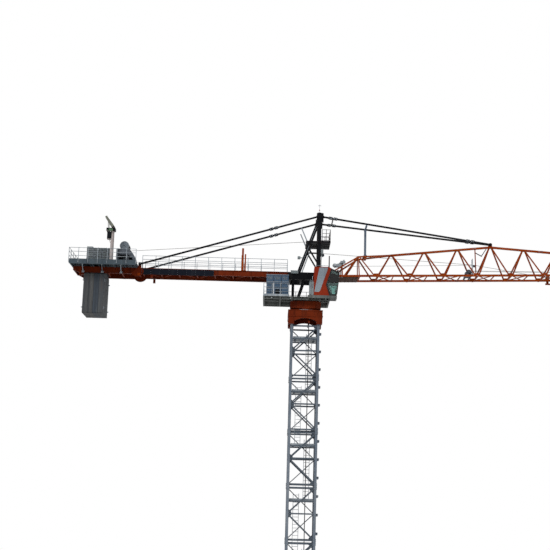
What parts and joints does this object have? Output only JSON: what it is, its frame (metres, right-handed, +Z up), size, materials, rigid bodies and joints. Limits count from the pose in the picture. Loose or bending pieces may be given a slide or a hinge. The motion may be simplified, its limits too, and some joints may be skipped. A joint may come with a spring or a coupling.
{
  "type": "half-size model of a saddle-jib tower crane",
  "caption": "Half-size tower crane: lattice mast on a cross base, slewing upper works with cab and tie-bar head, lattice jib with trolley, counter-jib with winch and hanging slabs.",
  "frame": {"origin": "on the mast's axis at the underside of the base frame", "axes": "+X along the jib, -Y the side of the cab, +Z up the mast"},
  "size_m": [25.178, 2.54, 17.98],
  "materials": {
    "mast_paint": "satin, weathered",
    "galvanised": "galvanised, dull",
    "cable_sheath": "matte",
    "orange_paint": "satin, faded",
    "bearing_steel": "greased",
    "deck_paint": "satin, dusty",
    "cabinet_paint": "satin",
    "cab_paint": "gloss",
    "cab_glass": "tinted",
    "seat_plastic": "matte",
    "black_paint": "satin",
    "panel_sheet": "satin",
    "winch_paint": "satin, dusty",
    "concrete": "rough, stained",
    "wire_rope": "oiled",
    "hook_paint": "painted"
  },
  "bodies": {
    "tower": {"base_frame": "mast_paint", "mast_section_1": "mast_paint", "mast_section_2": "mast_paint", "mast_section_3": "mast_paint", "mast_section_4": "mast_paint", "mast_section_5": "mast_paint", "mast_section_6": "mast_paint", "mast_platforms": "galvanised", "mast_ladders": "galvanised", "mast_cable": "cable_sheath", "ring_support": "orange_paint", "slewing_ring": "bearing_steel"},
    "upperworks": {"turntable": "orange_paint", "machinery_deck": "deck_paint", "deck_railing": "galvanised", "electrical_cabinet": "cabinet_paint", "cab_shell": "cab_paint", "cab_glass": "cab_glass", "cab_interior": "seat_plastic", "cab_cooler": "cabinet_paint", "head_base_frame": "black_paint", "tower_head": "black_paint", "head_walkway": "black_paint", "head_ladder": "galvanised", "head_antenna": "galvanised", "counter_jib_inner": "orange_paint", "counter_jib_outer": "orange_paint", "counter_walkway": "galvanised", "counter_railings": "galvanised", "side_panel": "panel_sheet", "winch_platform": "deck_paint", "winch_platform_railing": "galvanised", "hoist_winch": "winch_paint", "control_cabinets": "cabinet_paint", "light_mast": "galvanised", "counterweight_blocks": "concrete", "counter_pendants": "black_paint", "jib_pendants": "black_paint", "pendant_prop": "deck_paint", "jib_root": "orange_paint", "jib_section_1": "orange_paint", "jib_section_2": "orange_paint", "jib_section_3": "orange_paint", "jib_section_4": "orange_paint", "jib_tip": "orange_paint", "trolley_winch": "winch_paint", "jib_ropes": "wire_rope", "trolley": "orange_paint", "hook_block": "hook_paint"}
  },
  "joints": [
    {"name": "slewing", "type": "hinge", "parent": "tower", "child": "upperworks", "pos_m": [0, 0, 13.5003], "axis": [0, 0, 1], "continuous": true}
  ]
}
